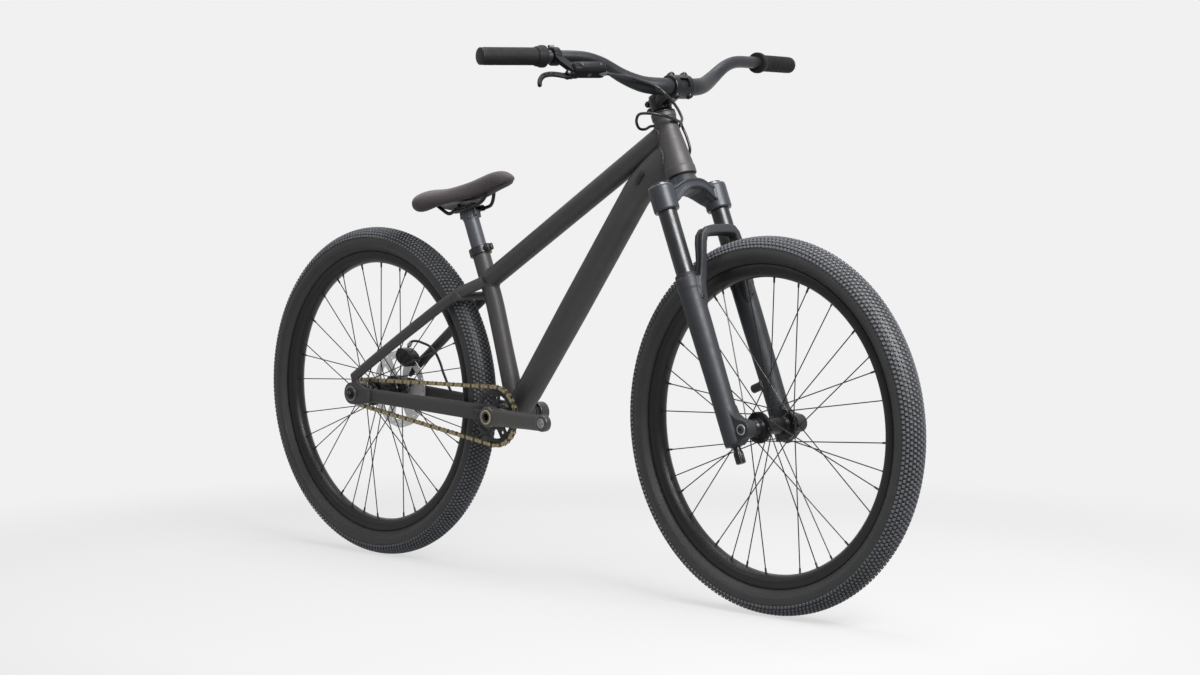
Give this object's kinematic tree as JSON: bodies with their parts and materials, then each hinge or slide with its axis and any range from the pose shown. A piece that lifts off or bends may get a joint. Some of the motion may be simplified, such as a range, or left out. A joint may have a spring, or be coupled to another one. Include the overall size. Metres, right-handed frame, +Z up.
{
  "type": "dirt jump bicycle",
  "caption": "Hardtail dirt jump bike: low sloping frame, short telescopic fork, knobbly tyres, single-speed chain drive, rear disc brake, wide riser bar and a low saddle",
  "frame": {"origin": "on the ground, midway between the contact points of the two tyres", "axes": "+X forward, +Y the rider's left, +Z up"},
  "size_m": [1.7344, 0.8156, 1.0057],
  "materials": {
    "frame": "satin charcoal paint",
    "slate": "satin blue-grey paint",
    "black_alloy": "satin black anodised",
    "gloss_black": "glossy black anodised",
    "steel": "brushed, slightly worn",
    "brass_chain": "gold-coloured plating",
    "crank_alloy": "satin dark grey anodised",
    "tyre": "matte tread rubber",
    "grip_rubber": "matte ridged rubber",
    "hose": "smooth black jacket",
    "cover": "matte woven cover",
    "shell_plastic": "moulded"
  },
  "bodies": {
    "frame": {"head_tube": "frame", "top_tube": "frame", "down_tube": "frame", "seat_tube": "frame", "bottom_bracket_shell": "frame", "right_chainstay": "frame", "left_chainstay": "frame", "right_seatstay": "frame", "left_seatstay": "frame", "right_dropout": "frame", "left_dropout": "frame", "seatstay_bridge": "frame", "upper_headset_bearing": "steel", "lower_headset_bearing": "steel", "seat_clamp": "black_alloy", "right_bottom_bracket_cup": "black_alloy", "left_bottom_bracket_cup": "black_alloy", "chain": "brass_chain", "rear_axle": "steel", "rear_caliper": "black_alloy", "brake_hose_rear_run": "hose"},
    "steering": {"steerer_tube": "slate", "fork_crown": "slate", "right_stanchion": "gloss_black", "left_stanchion": "gloss_black", "right_leg_cap": "slate", "left_leg_cap": "slate", "headset_top_cover": "black_alloy", "stem_body": "black_alloy", "stem_faceplate": "black_alloy", "steerer_top_cap": "black_alloy", "handlebar": "slate", "brake_lever_body": "black_alloy", "right_grip": "grip_rubber", "left_grip": "grip_rubber", "brake_hose_front_run": "hose"},
    "fork_slider": {"fork_lowers": "slate", "front_axle": "steel"},
    "rebound_dial": {"rebound_knob": "black_alloy"},
    "front_wheel": {"front_tyre": "tyre", "front_rim": "black_alloy", "front_hub_with_spokes": "black_alloy"},
    "rear_wheel": {"rear_tyre": "tyre", "rear_rim": "black_alloy", "rear_hub_with_spokes": "black_alloy", "rear_rotor": "steel"},
    "crankset": {"crank_spindle": "steel", "right_crank_arm": "crank_alloy", "left_crank_arm": "crank_alloy", "chainring": "black_alloy"},
    "driver": {"cog_driver": "black_alloy"},
    "lever": {"brake_lever_blade": "slate"},
    "inner_pad": {"inner_brake_pad": "steel"},
    "outer_pad": {"outer_brake_pad": "steel"},
    "seat": {"seatpost": "slate", "rail_clamp_lower": "black_alloy", "rail_clamp_upper": "black_alloy", "saddle_rails": "black_alloy", "saddle_shell": "shell_plastic", "saddle_pad": "cover"}
  },
  "joints": [
    {"name": "steering_turn", "type": "hinge", "parent": "frame", "child": "steering", "pos_m": [0.49822, 0, 0.32213], "axis": [-0.3714, 0, 0.9285], "range_deg": [-90, 90], "deforming": ["brake_hose_front_run"]},
    {"name": "fork_travel", "type": "slide", "parent": "steering", "child": "fork_slider", "axis": [-0.3714, 0, 0.9285], "range_m": [0, 0.1], "stiffness_N_per_m": 8000, "springref_m": -0.03},
    {"name": "rebound_turn", "type": "hinge", "parent": "fork_slider", "child": "rebound_dial", "pos_m": [0.51197, -0.069, 0.30124], "axis": [-0.3714, 0, 0.9285], "range_deg": [-170, 170]},
    {"name": "front_wheel_spin", "type": "hinge", "parent": "fork_slider", "child": "front_wheel", "pos_m": [0.53165, 0, 0.3355], "axis": [0, 1, 0], "continuous": true},
    {"name": "rear_wheel_spin", "type": "hinge", "parent": "frame", "child": "rear_wheel", "pos_m": [-0.53165, 0, 0.3355], "axis": [0, 1, 0], "continuous": true},
    {"name": "crank_spin", "type": "hinge", "parent": "frame", "child": "crankset", "pos_m": [-0.13021, 0, 0.3131], "axis": [0, 1, 0], "continuous": true, "deforming": ["chain"]},
    {"name": "cog_spin", "type": "hinge", "parent": "frame", "child": "driver", "pos_m": [-0.53165, 0, 0.3355], "axis": [0, 1, 0], "continuous": true},
    {"name": "brake_pull", "type": "hinge", "parent": "steering", "child": "lever", "pos_m": [0.28571, -0.25411, 0.95425], "axis": [-0.7323, 0.1705, -0.6593], "range_deg": [0, 18], "stiffness_Nm_per_rad": 1, "springref_deg": -17.19},
    {"name": "inner_pad_slide", "type": "slide", "parent": "frame", "child": "inner_pad", "axis": [0, 1, 0], "range_m": [0, 0.00055]},
    {"name": "outer_pad_slide", "type": "slide", "parent": "frame", "child": "outer_pad", "axis": [0, -1, 0], "range_m": [0, 0.00055]},
    {"name": "seat_height", "type": "slide", "parent": "frame", "child": "seat", "axis": [-0.3795, 0, 0.9252], "range_m": [-0.035, 0.03]}
  ],
  "couplings": [
    {"joint": "cog_spin", "follows": "crank_spin", "ratio": 2.1538},
    {"joint": "inner_pad_slide", "follows": "brake_pull", "m_per_rad": 0.00175},
    {"joint": "outer_pad_slide", "follows": "brake_pull", "m_per_rad": 0.00175}
  ]
}
